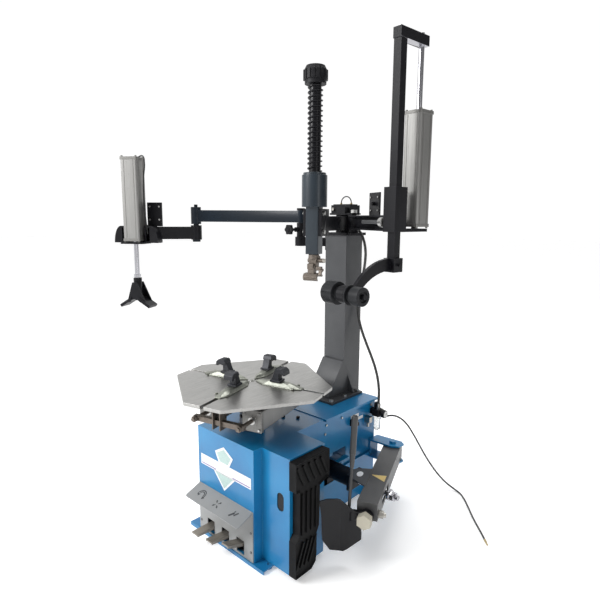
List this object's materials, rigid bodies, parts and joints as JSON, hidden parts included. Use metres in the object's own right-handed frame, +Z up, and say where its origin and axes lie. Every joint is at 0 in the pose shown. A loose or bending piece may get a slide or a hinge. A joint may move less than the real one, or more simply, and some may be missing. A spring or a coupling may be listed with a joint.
{
  "type": "tire changer",
  "caption": "Floor-standing tire changer with a four-jaw turntable, swing mount arm, side bead breaker and pneumatic helper arms on both sides.",
  "frame": {"origin": "centre of the four floor anchor holes, on the floor", "axes": "+Z up; -Y toward the pedals at the front; +X toward the bead breaker side"},
  "size_m": [1.8542, 1.3702, 2.2871],
  "materials": {
    "blue": "gloss enamel",
    "skid_blue": "gloss enamel",
    "black_paint": "fine textured powder coat",
    "grey_paint": "satin paint",
    "steel": "brushed",
    "zinc": "bright zinc",
    "cast": "rough cast",
    "bronze_steel": "forged",
    "chrome": "polished",
    "aluminium": "extruded, satin",
    "rubber": "matt",
    "black_plastic": "matt",
    "dark_steel": "satin",
    "brass": "bright",
    "clear_bowl": "clear",
    "cream": "worn light paint"
  },
  "bodies": {
    "base": {"cabinet_shell": "blue", "base_skids": "skid_blue", "bead_pad": "rubber", "pedal_hood": "grey_paint", "pedal_frame": "dark_steel", "motor": "cast", "gearbox": "cast", "column_post": "black_paint", "column_bolts": "zinc", "column_head": "black_paint", "air_regulator": "black_plastic", "filter_bowl": "clear_bowl", "pressure_gauge": "black_plastic", "air_fittings": "brass", "head_hose": "rubber", "supply_hose": "rubber", "hose_plug": "brass", "breaker_bracket": "blue", "breaker_ram": "dark_steel", "left_bracket": "black_paint", "control_valves": "black_plastic"},
    "pedal_l": {"pedal_left": "steel"},
    "pedal_m": {"pedal_middle": "steel"},
    "pedal_r": {"pedal_right": "steel"},
    "table": {"table_plate": "steel", "table_spindle": "dark_steel"},
    "jaw_f": {"jaw_front": "zinc", "claw_front": "dark_steel", "clamp_bar_front": "bronze_steel"},
    "jaw_r": {"jaw_right": "zinc", "claw_right": "dark_steel"},
    "jaw_b": {"jaw_rear": "zinc", "claw_rear": "dark_steel", "clamp_bar_rear": "bronze_steel", "clamp_rams": "aluminium"},
    "jaw_l": {"jaw_left": "zinc", "claw_left": "dark_steel"},
    "breaker": {"breaker_arm": "dark_steel", "breaker_pivot": "cream"},
    "blade": {"breaker_blade": "black_paint", "blade_handle": "dark_steel"},
    "ram_rod": {"breaker_rod": "chrome"},
    "mount_arm": {"swing_arm": "black_paint", "tool_guide": "dark_steel", "tool_spring": "dark_steel"},
    "tool": {"tool_shaft": "zinc", "tool_cap": "black_plastic", "mount_head": "bronze_steel"},
    "knob": {"lock_knob": "black_plastic"},
    "link": {"left_link": "black_paint"},
    "fork": {"left_fork": "black_paint", "press_ram": "aluminium"},
    "press": {"press_rod": "chrome"},
    "foot": {"press_foot": "black_plastic"},
    "beam": {"right_beam": "black_paint", "right_ram": "aluminium"},
    "post": {"right_post": "black_paint", "roller_arm": "black_paint"},
    "roller_a": {"roller_large": "black_plastic"},
    "roller_b": {"roller_small": "black_plastic"}
  },
  "joints": [
    {"name": "pedal_left_press", "type": "hinge", "parent": "base", "child": "pedal_l", "pos_m": [-0.104, -0.39, 0.06], "axis": [1, 0, 0], "range_deg": [-17, 6], "stiffness_Nm_per_rad": 12, "springref_deg": -1.15},
    {"name": "pedal_middle_press", "type": "hinge", "parent": "base", "child": "pedal_m", "pos_m": [0.001, -0.39, 0.06], "axis": [1, 0, 0], "range_deg": [-12, 10], "stiffness_Nm_per_rad": 12, "springref_deg": -1.15},
    {"name": "pedal_right_press", "type": "hinge", "parent": "base", "child": "pedal_r", "pos_m": [0.106, -0.39, 0.06], "axis": [1, 0, 0], "range_deg": [-1, 22], "stiffness_Nm_per_rad": 12, "springref_deg": -1.15},
    {"name": "table_spin", "type": "hinge", "parent": "base", "child": "table", "pos_m": [-0.006, -0.268, 0.5], "axis": [0, 0, 1], "continuous": true},
    {"name": "jaw_front_slide", "type": "slide", "parent": "table", "child": "jaw_f", "axis": [0.2672, -0.9636, 0], "range_m": [0, 0.085]},
    {"name": "jaw_right_slide", "type": "slide", "parent": "table", "child": "jaw_r", "axis": [0.9636, 0.2672, 0], "range_m": [0, 0.085]},
    {"name": "jaw_rear_slide", "type": "slide", "parent": "table", "child": "jaw_b", "axis": [-0.2672, 0.9636, 0], "range_m": [0, 0.085]},
    {"name": "jaw_left_slide", "type": "slide", "parent": "table", "child": "jaw_l", "axis": [-0.9636, -0.2672, 0], "range_m": [0, 0.085]},
    {"name": "breaker_swing", "type": "hinge", "parent": "base", "child": "breaker", "pos_m": [0.315, 0.44, 0.256], "axis": [0, 0, 1], "range_deg": [-1, 9]},
    {"name": "blade_tilt", "type": "hinge", "parent": "breaker", "child": "blade", "pos_m": [0.54, -0.104, 0.238], "axis": [0.3822, -0.9241, 0], "range_deg": [-5, 5]},
    {"name": "breaker_rod_slide", "type": "slide", "parent": "base", "child": "ram_rod", "axis": [1, 0, 0], "range_m": [-0.01, 0.075]},
    {"name": "mount_arm_swing", "type": "hinge", "parent": "base", "child": "mount_arm", "pos_m": [-0.015, 0.407, 1.465], "axis": [0, 0, 1], "range_deg": [-50, 4]},
    {"name": "tool_slide", "type": "slide", "parent": "mount_arm", "child": "tool", "axis": [0, 0, 1], "range_m": [-0.25, 0], "deforming": ["tool_spring"]},
    {"name": "lock_knob_turn", "type": "hinge", "parent": "base", "child": "knob", "pos_m": [-0.242, 0.24, 1.428], "axis": [0, 1, 0], "continuous": true},
    {"name": "left_link_swing", "type": "hinge", "parent": "base", "child": "link", "pos_m": [-0.242, 0.308, 1.498], "axis": [0, 0, 1], "range_deg": [-15, 30]},
    {"name": "left_fork_swing", "type": "hinge", "parent": "link", "child": "fork", "pos_m": [-0.713, -0.053, 1.406], "axis": [0, 0, 1], "range_deg": [-40, 60]},
    {"name": "press_slide", "type": "slide", "parent": "fork", "child": "press", "axis": [0, 0, 1], "range_m": [-0.19, 0.15]},
    {"name": "foot_swivel", "type": "hinge", "parent": "press", "child": "foot", "pos_m": [-0.847, -0.351, 1.11], "axis": [0, 0, 1], "continuous": true},
    {"name": "beam_swing", "type": "hinge", "parent": "base", "child": "beam", "pos_m": [0.086, 0.357, 1.47], "axis": [0, 0, 1], "range_deg": [-6, 30]},
    {"name": "post_slide", "type": "slide", "parent": "beam", "child": "post", "axis": [0, 0, 1], "range_m": [-0.25, 0.03]},
    {"name": "roller_large_spin", "type": "hinge", "parent": "post", "child": "roller_a", "pos_m": [0.41864, -0.12636, 1.181], "axis": [0.9945, -0.1045, 0], "continuous": true},
    {"name": "roller_small_spin", "type": "hinge", "parent": "post", "child": "roller_b", "pos_m": [0.41864, -0.12636, 1.181], "axis": [0.9945, -0.1045, 0], "continuous": true}
  ],
  "couplings": [
    {"joint": "jaw_right_slide", "follows": "jaw_front_slide", "ratio": 1},
    {"joint": "jaw_rear_slide", "follows": "jaw_front_slide", "ratio": 1},
    {"joint": "jaw_left_slide", "follows": "jaw_front_slide", "ratio": 1},
    {"joint": "breaker_rod_slide", "follows": "breaker_swing", "m_per_rad": 0.45}
  ]
}
